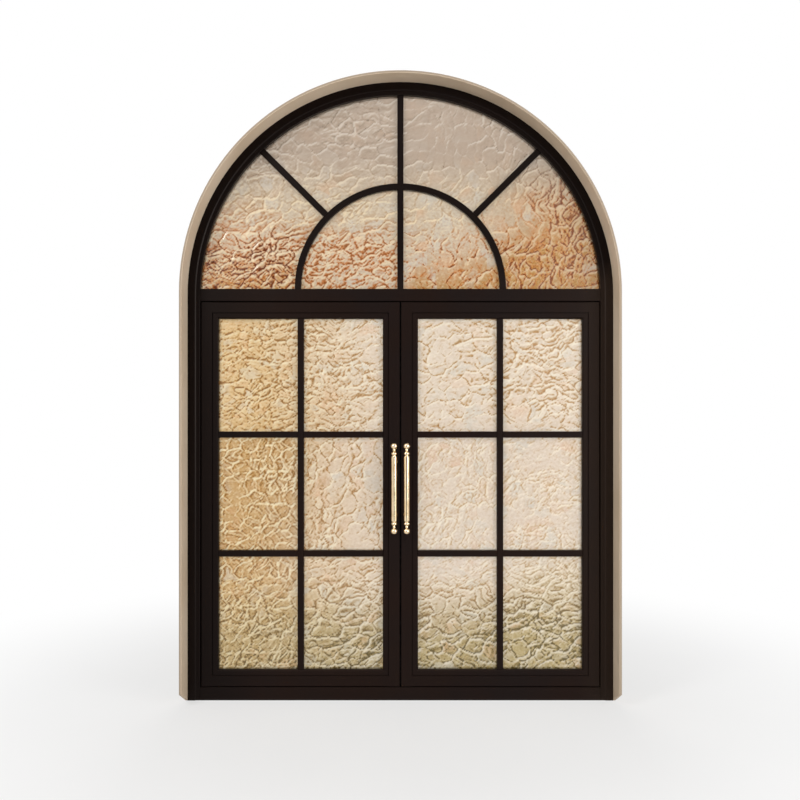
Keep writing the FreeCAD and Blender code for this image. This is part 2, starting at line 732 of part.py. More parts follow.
keep(group("hinge_sleeves", sleeve_halves), "right_hinge_sleeves")

# The left leaf is the right one mirrored about the middle of the opening.
leaf_names = [
    "hinge_stile",
    "meeting_stile",
    "top_rail",
    "bottom_rail",
    "glass",
    "side_beads",
    "end_beads",
    "upright_bar",
    "cross_bars",
    "front_pull",
    "back_pull",
    "pull_posts",
    "hinge_pins",
    "hinge_sleeves",
]
by_label = {piece.Label: piece for piece in pieces}
for name in leaf_names:
    mirror(by_label["right_" + name], "left_" + name)

doc.recompute()
for item in doc.Objects:
    if "Invalid" in item.State or "Error" in item.State:
        raise RuntimeError(f"{item.Label} did not recompute: {item.State}")
os.makedirs("parts", exist_ok=True)
for piece in pieces:
    shape = piece.Shape
    if shape.isNull() or not shape.isValid() or not shape.Solids:
        raise RuntimeError(f"{piece.Label} is not a sound solid")
    shape.exportStep(f"parts/{piece.Label}.step")
    print(piece.Label, len(shape.Solids), round(shape.Volume))
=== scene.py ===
import bmesh
import bpy
import json
import math
import numpy as np
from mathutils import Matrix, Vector


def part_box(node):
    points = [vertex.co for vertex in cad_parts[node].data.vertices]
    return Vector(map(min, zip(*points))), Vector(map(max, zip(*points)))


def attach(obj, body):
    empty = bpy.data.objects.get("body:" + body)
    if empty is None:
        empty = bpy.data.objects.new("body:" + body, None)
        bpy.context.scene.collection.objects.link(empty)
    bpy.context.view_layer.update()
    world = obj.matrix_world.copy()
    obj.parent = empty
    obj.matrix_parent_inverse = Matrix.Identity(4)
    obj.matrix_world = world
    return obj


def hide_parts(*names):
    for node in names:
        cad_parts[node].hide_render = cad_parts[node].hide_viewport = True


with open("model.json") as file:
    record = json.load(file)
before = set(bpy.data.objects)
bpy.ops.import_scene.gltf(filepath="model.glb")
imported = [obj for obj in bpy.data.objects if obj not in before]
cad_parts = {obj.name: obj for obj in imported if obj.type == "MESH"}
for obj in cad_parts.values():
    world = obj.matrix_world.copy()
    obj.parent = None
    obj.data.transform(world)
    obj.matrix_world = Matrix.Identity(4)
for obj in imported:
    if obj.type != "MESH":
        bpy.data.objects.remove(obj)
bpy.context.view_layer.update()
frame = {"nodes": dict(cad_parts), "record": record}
print("door frame loaded:", len(frame["nodes"]), "nodes")


# shader wiring
class Wire:
    def __init__(self, tree, socket=None):
        self.tree = tree
        self.socket = socket

    def node(self, kind, settings=None, inputs=None, output=0):
        made = self.tree.nodes.new(kind)
        for name, value in (settings or {}).items():
            setattr(made, name, value)
        for name, value in (inputs or {}).items():
            if isinstance(value, Wire):
                self.tree.links.new(value.socket, made.inputs[name])
            else:
                made.inputs[name].default_value = value
        return Wire(self.tree, made.outputs[output])

    def __getitem__(self, output):  # another output of the same node
        return Wire(self.tree, self.socket.node.outputs[output])

    def maths(self, operation, first, second):
        return self.node("ShaderNodeMath", {"operation": operation}, {0: first, 1: second})

    def __add__(self, other):
        return self.maths("ADD", self, other)

    def __radd__(self, other):
        return self.maths("ADD", other, self)

    def __sub__(self, other):
        return self.maths("SUBTRACT", self, other)

    def __rsub__(self, other):
        return self.maths("SUBTRACT", other, self)

    def __mul__(self, other):
        return self.maths("MULTIPLY", self, other)

    def __rmul__(self, other):
        return self.maths("MULTIPLY", other, self)

    def rise(self, low, high):  # 0 at low, 1 at high, smooth between
        spread = {"Value": self, "From Min": low, "From Max": high}
        return self.node("ShaderNodeMapRange", {"interpolation_type": "SMOOTHSTEP"}, spread)

    def tint(self, under, over):  # this value mixes over on to under
        return self.node("ShaderNodeMix", {"data_type": "RGBA"}, {0: self, 6: under, 7: over}, 2)


def paint(red, green, blue):  # a screen colour as Blender's linear one
    def linear(level):
        level = level / 255
        return level / 12.92 if level <= 0.04045 else ((level + 0.055) / 1.055) ** 2.4

    return (linear(red), linear(green), linear(blue), 1)


def paints(values):  # every colour in a dictionary
    return {name: paint(*value) for name, value in values.items()}


def newFinish(name):
    material = bpy.data.materials.new(name)
    material.use_nodes = True
    material.node_tree.nodes.clear()
    wire = Wire(material.node_tree)
    return material, wire, wire.node("ShaderNodeTexCoord", None, None, "Object")


def speckle(wire, place, scale, detail=2, stretch=None):
    if stretch:
        place = wire.node("ShaderNodeVectorMath", {"operation": "MULTIPLY"}, {0: place, 1: stretch})
    return wire.node("ShaderNodeTexNoise", None, {"Vector": place, "Scale": scale, "Detail": detail})


def along(wire, vector, axis):
    return wire.node("ShaderNodeSeparateXYZ", None, {0: vector}, axis)


def facing(wire, axis):
    return along(wire, wire.node("ShaderNodeNewGeometry", None, None, "Normal"), axis)


def dimples(wire, height, strength, distance):
    return wire.node("ShaderNodeBump", None, {"Strength": strength, "Distance": distance, "Height": height})


def surface(wire, inputs):
    return wire.node("ShaderNodeBsdfPrincipled", None, inputs)


def finishOff(wire, shader, kind="ShaderNodeOutputMaterial"):
    out = wire.tree.nodes.new(kind)
    wire.tree.links.new(shader.socket, out.inputs["Surface"])


# near-black frame paint
framePaint = {
    "colours": {
        "face": (27, 16, 12),
        "cool": (22, 15, 14),
        # deep is painted shade for the left side and the arch; pale is painted light on the right side
        "deep": (12, 6, 5),
        "pale": (40, 30, 24),
        "dust": (58, 47, 40),
    },
    # where the painted shade and painted light lie, in metres across and up
    "leftSide": (-0.70, -1.05),
    "rightSide": (0.95, 1.15),
    "arch": (2.25, 2.45),
    "cloudScale": 2.6,
    "grainScale": 55,
    "roughness": 0.42,
    "gloss": 0.11,
    "glossTint": (1.0, 0.86, 0.78, 1),
    "peelScale": 420,
    "peelHeight": 0.00012,
}


def makeFramePaint():
    material, wire, place = newFinish("frameSatinPaint")
    tint = paints(framePaint["colours"])
    across = along(wire, place, "X")
    cloud = speckle(wire, place, framePaint["cloudScale"], 3)
    grain = speckle(wire, place, framePaint["grainScale"], 4)
    peel = speckle(wire, place, framePaint["peelScale"])
    colour = cloud.rise(0.35, 0.7).tint(tint["face"], tint["cool"])
    archShadeMask = across["Z"].rise(*framePaint["arch"])
    deep = wire.maths("MAXIMUM", across.rise(*framePaint["leftSide"]), archShadeMask)  # painted shade on the left side and the arch
    colour = (0.85 * deep).tint(colour, tint["deep"])
    # painted light on the right side, kept off the arch
    colour = (across.rise(*framePaint["rightSide"]) * (1 - archShadeMask)).tint(colour, tint["pale"])
    dusty = facing(wire, "Z").rise(0.6, 1.0) * (0.25 + 0.75 * grain.rise(0.35, 0.75)) * 0.5  # on ledges
    colour = dusty.tint(colour, tint["dust"])
    shader = surface(wire, {
        "Base Color": colour,
        "Roughness": framePaint["roughness"] + 0.16 * (cloud - 0.5) + 0.10 * (grain - 0.5) + 0.2 * dusty,
        "Specular IOR Level": framePaint["gloss"],
        "Specular Tint": framePaint["glossTint"],
        "Normal": dimples(wire, peel, 0.5, framePaint["peelHeight"]),
    })
    finishOff(wire, shader)
    return material


# polished brass pulls
brassFinish = {
    "colours": {
        "bright": (240, 218, 182),
        "deep": (222, 193, 150),
    },
    "roughness": 0.13,
    "cloudScale": 24,
    "smearScale": 90,
    "turningScale": 260,
    "turningHeight": 0.00002,
}


def makeBrass():
    material, wire, place = newFinish("polishedBrass")
    tint = paints(brassFinish["colours"])
    cloud = speckle(wire, place, brassFinish["cloudScale"], 3)
    smear = speckle(wire, place, brassFinish["smearScale"], 3, (1, 1, 0.15))
    rings = speckle(wire, place, brassFinish["turningScale"], 2, (0.02, 0.02, 1))  # lathe marks
    shader = surface(wire, {
        "Base Color": cloud.rise(0.4, 0.8).tint(tint["bright"], tint["deep"]),
        "Metallic": 1.0,
        "Roughness": brassFinish["roughness"] + 0.12 * smear.rise(0.45, 0.8) + 0.04 * rings,
        "Normal": dimples(wire, rings, 0.4, brassFinish["turningHeight"]),
    })
    finishOff(wire, shader)
    return material


# beige reveal lining
liningPaint = {
    "colours": {
        "face": (214, 195, 172),
        "worn": (203, 182, 157),
        # edge is painted shade for the front edge
        "edge": (162, 145, 126),
        "scuff": (120, 104, 88),
    },
    "roughness": 0.62,
    "gloss": 0.3,
    "cloudScale": 3.2,
    "scuffScale": 14,
    "scuffTop": 0.5,
    "rollerScale": 260,
    "rollerHeight": 0.0003,
}


def makeLiningPaint():
    material, wire, place = newFinish("liningEggshell")
    tint = paints(liningPaint["colours"])
    low = along(wire, place, "Z").rise(liningPaint["scuffTop"], 0.0)
    cloud = speckle(wire, place, liningPaint["cloudScale"], 4)
    roller = speckle(wire, place, liningPaint["rollerScale"], 3)
    scuff = speckle(wire, place, liningPaint["scuffScale"], 5, (1, 1, 0.3)).rise(0.56, 0.72) * low
    colour = cloud.rise(0.35, 0.7).tint(tint["face"], tint["worn"])
    colour = facing(wire, "Y").rise(-0.8, -0.95).tint(colour, tint["edge"])  # painted shade: the front edge is darker
    colour = (0.5 * scuff).tint(colour, tint["scuff"])
    shader = surface(wire, {
        "Base Color": colour,
        "Roughness": liningPaint["roughness"] + 0.14 * (cloud - 0.5) + 0.1 * scuff,
        "Specular IOR Level": liningPaint["gloss"],
        "Normal": dimples(wire, roller, 0.6, liningPaint["rollerHeight"]),
    })
    finishOff(wire, shader)
    return material


# warm rippled glass: its colours, and where they change over in metres across or up
warmGlass = {
    "colours": {
        "amber": (227, 193, 138),
        "cream": (233, 218, 202),
        "olive": (206, 187, 137),
        "honey": (188, 142, 78),
        "fanLow": (196, 150, 88),
        "fanMiddle": (214, 199, 177),
        "goldMiddle": (200, 176, 146),
        "fanTop": (194, 176, 158),
        # soft shade colours: painted shade on walls turned from the light and around the creases
        "amberEdge": (190, 144, 78),
        "creamEdge": (216, 190, 154),
        "oliveEdge": (168, 144, 88),
        "rustEdge": (202, 124, 56),
        "goldEdge": (202, 136, 76),
        "fanEdge": (194, 164, 130),
        "topEdge": (174, 156, 138),
        # deep shade colours: painted shade in the creases
        "amberCrease": (156, 106, 46),
        "creamCrease": (190, 148, 98),
        "oliveCrease": (108, 92, 46),
        "rustCrease": (106, 38, 8),
        "goldCrease": (134, 66, 26),
        "fanCrease": (146, 106, 72),
        "topCrease": (154, 136, 118),
        # highlight colours: painted highlights on lit walls and crests
        "amberCrest": (255, 241, 202),
        "crest": (255, 246, 226),
        "fanHighlight": (247, 230, 196),
        "goldCrest": (230, 208, 174),
        "topCrest": (222, 210, 194),
        "peach": (228, 176, 132),
        "pearl": (216, 214, 206),
    },
    "toRight": (-0.95, 0.0),
    "toFloor": (0.78, 0.24),
    "toTopRow": (1.35, 1.70),
    "toFan": (2.22, 2.25),
    "overGold": (2.22, 2.50),
    "overRust": (2.44, 2.72),
    "toCrown": (2.70, 3.05),
    "ringFrom": (-0.64, -0.50),
    "ringTo": (0.12, -0.02),
    "driftScale": 1.7,
    "patchScale": 9,
    "mottleScale": 62,
    "grainScale": 150,
    "peachShare": 0.45,
    "pearlShare": 0.55,
    "honeyShare": 0.40,
    "roughness": 0.10,
    "grainHeight": 0.0006,
    "ior": 1.45,
    "clearness": 0.62,
}


def makeGlass():
    material, wire, place = newFinish("warmRippledGlass")
    glass, tint = warmGlass, paints(warmGlass["colours"])

    def mark(name):  # a value that each sheet keeps at its points
        return wire.node("ShaderNodeAttribute", {"attribute_name": name}, None, "Fac")

    across = along(wire, place, "X")
    height = across["Z"]
    creaseShade, crest, slopeShading = mark("creaseShadeMark"), mark("crestHighlightMark"), mark("slopeShadingMark")
    tone, honey = mark("plateTone"), mark("honeyCell")
    drift = speckle(wire, place, glass["driftScale"]) - 0.5
    patch = speckle(wire, place, glass["patchScale"], 3)
    fine = speckle(wire, place, glass["grainScale"])
    mottle = speckle(wire, place, glass["mottleScale"], 2, (1, 1, 1.25))

    toRight = (across + 0.5 * drift).rise(*glass["toRight"])
    lowness = height + 0.35 * drift - 0.08 * across.rise(0.35, 0.8)
    toFloor = lowness.rise(*glass["toFloor"]) * (0.7 + 0.3 * toRight)
    toFan = height.rise(*glass["toFan"])
    toCrown = height.rise(*glass["toCrown"])
    rimward = height + 0.3 * drift - 0.30 * across.rise(0.35, 0.9) - 0.10 * across.rise(-0.3, -0.8)
    ringLeft = across.rise(*glass["ringFrom"]) * across.rise(*glass["ringTo"])
    overGold = (rimward + 0.18 * ringLeft).rise(*glass["overGold"])  # paler inside the ring
    overRust = rimward.rise(*glass["overRust"])

    # the fan goes from rust at the left to gold at the right
    tint["fanMiddle"] = across.rise(0.35, 0.85).tint(tint["fanMiddle"], tint["goldMiddle"])
    tint["rustCrease"] = across.rise(0.1, 0.6).tint(tint["rustCrease"], tint["goldCrease"])
    tint["rustEdge"] = across.rise(0.2, 0.6).tint(tint["rustEdge"], tint["goldEdge"])
    tint["fanHighlight"] = across.rise(0.3, 0.8).tint(tint["fanHighlight"], tint["goldCrest"])

    def byPlace(fanward, left, right, low, fanLow, fanMiddle, fanTop):  # one colour for each zone
        leaf = toFloor.tint(toRight.tint(tint[left], tint[right]), tint[low])
        fan = toCrown.tint(fanward.tint(tint[fanLow], tint[fanMiddle]), tint[fanTop])
        return toFan.tint(leaf, fan)

    colour = byPlace(overGold, "amber", "cream", "olive", "fanLow", "fanMiddle", "fanTop")
    softShades = [name + "Edge" for name in ("amber", "cream", "olive", "rust", "fan", "top")]
    softShadeColour = byPlace(overRust, *softShades)
    deepShades = [name + "Crease" for name in ("amber", "cream", "olive", "rust", "fan", "top")]
    deepShadeColour = (0.45 * ringLeft * toFan).tint(byPlace(overRust, *deepShades), softShadeColour)
    leafHighlight = toRight.tint(tint["amberCrest"], tint["crest"])
    highlightColour = toCrown.tint(toFan.tint(leafHighlight, tint["fanHighlight"]), tint["topCrest"])

    # plates of their own tone, then painted light and shade: lit and shaded walls, painted shade in the
    # creases, painted highlights on the crests
    below = 1 - 0.8 * toCrown
    peachPlate = tone.rise(0.60, 0.95) * patch.rise(0.40, 0.65) * below
    pearlPlate = tone.rise(0.35, 0.05) * patch.rise(0.62, 0.40) * below
    stipple = (1 - 0.75 * toCrown) * (mottle - 0.5)
    colour = (glass["peachShare"] * peachPlate).tint(colour, tint["peach"])
    colour = (glass["pearlShare"] * pearlPlate).tint(colour, tint["pearl"])
    colour = (glass["honeyShare"] * honey).tint(colour, tint["honey"])
    colour = (0.16 * height.rise(*glass["toTopRow"]) * (1 - toFan)).tint(colour, highlightColour)
    # painted light and painted shade on the walls, by their slope to the light
    colour = (0.50 * slopeShading.rise(0.5, 1.0)).tint(colour, highlightColour)
    colour = (1.3 * stipple).tint(colour, highlightColour)
    colour = (0.50 * slopeShading.rise(0.5, 0.0) - 1.6 * stipple).tint(colour, softShadeColour)
    # painted shade around and in the creases
    colour = (0.8 * creaseShade.rise(0.0, 0.55)).tint(colour, softShadeColour)
    colour = (0.95 * creaseShade.rise(0.40, 1.0)).tint(colour, deepShadeColour)
    # painted highlights on the crests
    colour = ((0.75 + 0.25 * honey) * crest).tint(colour, highlightColour)

    shader = surface(wire, {
        "Base Color": colour,
        "Roughness": glass["roughness"] + 0.14 * (patch - 0.5) + 0.1 * fine.rise(0.5, 0.8),
        "IOR": glass["ior"],
        "Transmission Weight": glass["clearness"],
        "Normal": dimples(wire, fine, 0.35, glass["grainHeight"]),
    })
    finishOff(wire, shader)
    return material


# small fittings: rubber seals, steel screws and plastic caps
fittings = {
    "blackRubber": {
        "colours": {"face": (26, 25, 24), "worn": (62, 58, 54)},
        "metallic": 0.0,
        "roughness": 0.66,
        "grainScale": 900,
    },
    "zincSteel": {
        "colours": {"face": (168, 166, 160), "worn": (118, 115, 108)},
        "metallic": 1.0,
        "roughness": 0.34,
        "grainScale": 500,
    },
    "brownPlastic": {
        "colours": {"face": (34, 24, 19), "worn": (60, 48, 40)},
        "metallic": 0.0,
        "roughness": 0.48,
        "grainScale": 700,
    },
}


def makeFitting(name, cloudScale=40, grainHeight=0.00015):
    material, wire, place = newFinish(name)
    fitting = fittings[name]
    tint = paints(fitting["colours"])
    cloud = speckle(wire, place, cloudScale, 3)
    grain = speckle(wire, place, fitting["grainScale"], 3)
    shader = surface(wire, {
        "Base Color": (0.7 * cloud.rise(0.45, 0.75)).tint(tint["face"], tint["worn"]),
        "Metallic": fitting["metallic"],
        "Roughness": fitting["roughness"] + 0.2 * (grain - 0.5),
        "Normal": dimples(wire, grain, 0.4, grainHeight),
    })
    finishOff(wire, shader)
    return material


finishes = {
    "frame_paint": makeFramePaint(),
    "brass": makeBrass(),
    "lining_paint": makeLiningPaint(),
    "textured_glass": makeGlass(),
}
rubberFinish = makeFitting("blackRubber")
screwFinish = makeFitting("zincSteel")
capFinish = makeFitting("brownPlastic")
for part in frame["record"]["subparts"]:
    mesh = frame["nodes"][part["node"]].data
    mesh.materials.clear()
    mesh.materials.append(finishes[part["material_slot"]])
print("finishes on the frame:", len(finishes))


def newObject(name, data):
    thing = bpy.data.objects.new(name, data)
    bpy.context.scene.collection.objects.link(thing)
    return thing


# rippled sheets in place of the flat glass: cells are (wide, tall) in metres
ripple = {
    "pitch": 0.0051,
    "folds": {
        "big": {"cell": (0.150, 0.088), "seed": 31, "steep": 0.15, "fade": 0.55},
        "fine": {"cell": (0.070, 0.034), "seed": 41, "steep": 0.17, "fade": 0.62},
        "web": {"cell": (0.052, 0.060), "seed": 51, "steep": 0.10, "fade": 0.55},
        "tallBig": {"cell": (0.080, 0.130), "seed": 61, "steep": 0.15, "fade": 0.55},
        "tallFine": {"cell": (0.038, 0.066), "seed": 65, "steep": 0.17, "fade": 0.62},
    },
    "plates": {
        "flat": {"cell": (0.086, 0.060), "seed": 5, "whole": 0.35, "seamWidth": 0.20},
        "scale": {"cell": (0.056, 0.036), "seed": 15, "whole": 0.30, "seamWidth": 0.24},
        "web": {"cell": (0.056, 0.060), "seed": 25, "whole": 0.0, "seamWidth": 0.15},
        "tall": {"cell": (0.058, 0.088), "seed": 35, "whole": 0.35, "seamWidth": 0.20},
    },
    "zones": {  # share of fine folds, of web and of scales in each zone, and how strong the ripple is
        "bottom": {"fine": 0.25, "web": 0.15, "scale": 0.35, "strength": 1.40},
        "net": {"fine": 0.15, "web": 0.85, "scale": 0.0, "strength": 1.20},
        "streak": {"fine": 0.80, "web": 0.0, "scale": 0.60, "strength": 0.64},
        "scallop": {"fine": 0.30, "web": 0.0, "scale": 0.70, "strength": 1.00},
        "plain": {"fine": 0.35, "web": 0.10, "scale": 0.20, "strength": 0.78},
        "busy": {"fine": 0.0, "web": 0.0, "scale": 0.30, "strength": 0.26},
        "quiet": {"fine": 0.30, "web": 0.0, "scale": 0.30, "strength": 0.20},
        "rust": {"fine": 0.35, "web": 0.10, "scale": 0.30, "strength": 1.40},
        "crown": {"fine": 0.35, "web": 0.05, "scale": 0.0, "strength": 0.70},
    },
    "bends": ((0.030, 0.17, 1), (0.016, 0.07, 3), (0.008, 0.03, 5)),
    "fanFoot": 2.23,
    "ringFoot": 2.26,
    "foldDepth": 0.0030,
    "seamDepth": 0.0012,
    "lean": 0.0026,
    "lightFrom": (0.68, -0.73),
    "relief": 0.70,
    "mostRelief": 0.0024,
    "backShare": 0.25,
    "faceIn": 0.0002,
}


def chance(i, j, seed):  # the same 0 to 1 number for a lattice corner each run
    n = (i * 374761393 + j * 668265263 + seed * 144269504) & 0xFFFFFFFF
    n = ((n ^ (n >> 13)) * 1274126177) & 0xFFFFFFFF
    return ((n ^ (n >> 16)) & 0xFFFFFF) / 0xFFFFFF


def ease(value, low, high):
    share = np.clip((value - low) / (high - low), 0, 1)
    return share * share * (3 - 2 * share)


def towards(first, second, share):
    return first + share * (second - first)


def lattice(x, z, wide, tall):  # a point in cells, and the corner below it
    u, v = x / wide, z / tall
    return u, v, np.floor(u).astype(np.int64), np.floor(v).astype(np.int64)


def softNoise(x, z, wide, tall, seed):
    u, v, i, j = lattice(x, z, wide, tall)
    fu, fv = ease(u - i, 0, 1), ease(v - j, 0, 1)
    low = chance(i, j, seed) * (1 - fu) + chance(i + 1, j, seed) * fu
    high = chance(i, j + 1, seed) * (1 - fu) + chance(i + 1, j + 1, seed) * fu
    return 2 * (low * (1 - fv) + high * fv) - 1


def waves(x, z, wide, tall, seed):  # smooth waves about zero, of one size
    u, v, i, j = lattice(x, z, wide, tall)
    total = 0
    for di in (0, 1):
        for dj in (0, 1):
            fu, fv = u - i - di, v - j - dj
            turn = 2 * np.pi * chance(i + di, j + dj, seed)
            share = ease(1 - np.abs(fu), 0, 1) * ease(1 - np.abs(fv), 0, 1)
            total = total + share * (np.cos(turn) * fu + np.sin(turn) * fv)
    return total


def folds(x, z, cell, seed, steep, fade):  # wandering creases, in three sizes
    total = 0
    for step in range(3):
        wide, tall = cell[0] / 1.9 ** step, cell[1] / 1.9 ** step
        wave = waves(x, z, wide, tall, seed + step)
        unbroken = ease(softNoise(x, z, 0.9 * wide, 0.9 * tall, seed + step + 7), -0.95, -0.15)
        rounded = np.sqrt(wave * wave + 0.0009)
        total = total + fade ** step * unbroken * (np.tanh(rounded / steep) + 0.25 * rounded - 1)
    return total * ripple["foldDepth"]


def plates(x, z, cell, seed, whole, seamWidth):  # irregular leaning plates: seams, faces and one tone each
    u, v, i, j = lattice(x, z, *cell)
    nearest, second = np.full(x.shape, 99.0), np.full(x.shape, 99.0)
    tone, lean = np.zeros(x.shape), np.zeros(x.shape)
    for di in (-1, 0, 1):
        for dj in (-1, 0, 1):
            ci, cj = i + di, j + dj
            du = u - ci - chance(ci, cj, seed)
            dv = v - cj - chance(ci, cj, seed + 1)
            gap = np.hypot(du, dv)
            closer = gap < nearest
            second = np.where(closer, nearest, np.minimum(second, gap))
            slant = du * (2 * chance(ci, cj, seed + 2) - 1) + dv * (1.6 * chance(ci, cj, seed + 3) - 0.3)
            tone = np.where(closer, chance(ci, cj, seed + 4), tone)
            lean = np.where(closer, slant, lean)
            nearest = np.where(closer, gap, nearest)
    unbroken = ease(softNoise(x, z, 0.7 * cell[0], 0.7 * cell[1], seed + 7), whole - 0.7, whole)
    seam = unbroken * (ease(second - nearest, 0, seamWidth) - 1)
    return ripple["seamDepth"] * seam, ripple["lean"] * lean, tone


def glassZones(x, z):  # share of each zone at a point; the cross bars are near 0.80 and 1.43 m
    zone = {}
    zone["cloud"] = cloud = softNoise(x, z, 0.30, 0.24, 71) + 0.5 * softNoise(x, z, 0.12, 0.10, 72)
    fan = ease(z, 2.22, 2.25)
    leaf = 1 - fan
    zone["left"] = left = ease(x, -0.45, -0.60)
    rise = 0.80 - 0.10 * ease(x, 0.0, 0.1)
    zone["bottom"] = bottom = leaf * ease(z + 0.06 * cloud, rise, rise - 0.22)
    zone["net"] = net = leaf * left * ease(z, 1.48, 1.42) * (1 - bottom)
    zone["streak"] = streak = leaf * left * ease(z, 1.42, 1.48)
    zone["scallop"] = scallop = leaf * ease(x, 0.25, 0.85) * ease(z + 0.15 * cloud, 1.42, 1.75)
    plain = leaf * (1 - bottom) * (1 - net) * (1 - streak) * (1 - scallop)
    zone["plain"] = plain
    zone["busy"] = ease(x, 0.05, -0.15) * plain
    zone["quiet"] = ease(x, 0.0, 0.1) * ease(z, 1.50, 1.40) * plain
    rim = np.hypot(x, z - ripple["fanFoot"])
    byRim = ease(rim + 0.04 * cloud, 0.84, 1.04) * ease(x, 0.25, 0.6) * ease(z, 3.05, 2.75)
    zone["rust"] = rust = fan * np.clip(ease(z + 0.09 * cloud, 2.68, 2.40) + byRim, 0, 1)
    zone["crown"] = fan * (1 - rust)
    middleRow = ease(z, 1.46, 1.38) * ease(z, 0.76, 0.84) * (1 - 0.5 * ease(x, 0.5, 0.6))
    zone["upright"] = np.clip(leaf * middleRow + 0.5 * left * bottom + fan * ease(x, 0.0, 0.3), 0, 1)
    return zone


def glassRelief(x, z):
    zone = glassZones(x, z)
    left, bottom, net, quiet = zone["left"], zone["bottom"], zone["net"], zone["quiet"]
    rust, crown, upright = zone["rust"], zone["crown"], zone["upright"]
    bentX, bentZ = x, z
    for reach, span, seed in ripple["bends"]:
        bentX = bentX + reach * softNoise(x, z, span, span, seed)
        bentZ = bentZ + 0.8 * reach * softNoise(x, z, span, span, seed + 1)
    fold = {name: folds(bentX, bentZ, **kind) for name, kind in ripple["folds"].items()}
    plate = {name: plates(bentX, bentZ, **kind) for name, kind in ripple["plates"].items()}
    part = {}
    for kind in ("fine", "web", "scale", "strength"):
        part[kind] = sum(zone[name] * amount[kind] for name, amount in ripple["zones"].items())
    fineShare = part["fine"]
    webShare = part["web"] + 0.30 * left * bottom
    scaleShare = part["scale"] * (1 - 0.6 * upright)

    big = towards(fold["big"], fold["tallBig"], upright)
    fine = 0.8 * towards(fold["fine"], fold["tallFine"], upright)
    wandering = (1 - fineShare - webShare) * big + fineShare * fine - webShare * fold["web"]
    flatSeam, flatFace, flatTone = plate["flat"]
    tallSeam, tallFace, tallTone = plate["tall"]
    scaleSeam, scaleFace, scaleTone = plate["scale"]
    webSeam, webFace, webTone = plate["web"]
    plated = towards(flatSeam + flatFace, tallSeam + tallFace, upright)
    plated = towards(plated, scaleSeam + scaleFace, scaleShare)
    plated = towards(plated, 0.5 * webFace - webSeam, webShare)
    tone = np.where(upright > 0.5, tallTone, flatTone)
    tone = np.where(scaleShare > 0.5, scaleTone, tone)
    tone = np.where(webShare > 0.5, webTone, tone)

    # stronger at the bottom right, the rust at the left and the rim, softer inside the ring
    inRing = ease(np.hypot(x, z - ripple["ringFoot"]), 0.62, 0.52) * ease(x, -0.05, 0.05)
    nearRim = ease(np.hypot(x, z - ripple["fanFoot"]), 0.80, 1.0) * ease(x, 0.2, 0.5)
    strength = part["strength"] + 0.15 * ease(x, 0.0, 0.1) * bottom + 0.30 * ease(x, 0.5, 0.6) * quiet
    strength = strength + (1.05 * ease(x, 0.1, -0.7) - 0.40 * inRing + 0.5 * nearRim) * rust
    strength = strength + 0.40 * (ease(np.abs(x), 0.45, 0.8) + ease(x, 0.05, -0.15)) * crown
    strength = strength * (0.85 + 0.35 * softNoise(x, z, 0.13, 0.10, 21) + 0.25 * zone["cloud"])
    wander = 0.60 - 0.25 * bottom - 0.18 * net
    honey = net + 0.4 * bottom * left
    calm = 1 - 0.18 * honey - 0.55 * quiet - 0.70 * crown - 0.20 * rust * inRing  # share of painted shade in the creases
    return strength * (wander * wandering + (1.4 - wander) * plated), tone, honey, calm


def sheetFaces(inside, ids):  # front in fine cells, back in cells twice as wide, and the rim between
    fine = np.kron(inside, np.ones((2, 2), bool))
    corners = (ids[:-1, :-1], ids[1:, :-1], ids[1:, 1:], ids[:-1, 1:])
    frontFaces = np.stack([corner[fine] for corner in corners], 1).tolist()
    padded = np.pad(inside, 1)
    offset = ids.size
    backFaces, rimFaces, onRim = [], [], set()
    for a, b in np.argwhere(inside).tolist():
        corners = [(2 * a, 2 * b), (2 * a + 2, 2 * b), (2 * a + 2, 2 * b + 2), (2 * a, 2 * b + 2)]
        beyond = [padded[a + 1, b], padded[a + 2, b + 1], padded[a + 1, b + 2], padded[a, b + 1]]
        loop = []
        for k in range(4):
            start, end = corners[k], corners[(k + 1) % 4]
            loop.append(int(ids[start]))
            if not beyond[k]:
                middle = ((start[0] + end[0]) // 2, (start[1] + end[1]) // 2)
                loop.append(int(ids[middle]))
                for p, q in ((int(ids[start]), int(ids[middle])), (int(ids[middle]), int(ids[end]))):
                    rimFaces.append([q, p, p + offset, q + offset])
                    onRim.update((p, q))
        backFaces.append([n + offset for n in reversed(loop)])
    return frontFaces, backFaces, rimFaces, sorted(onRim)


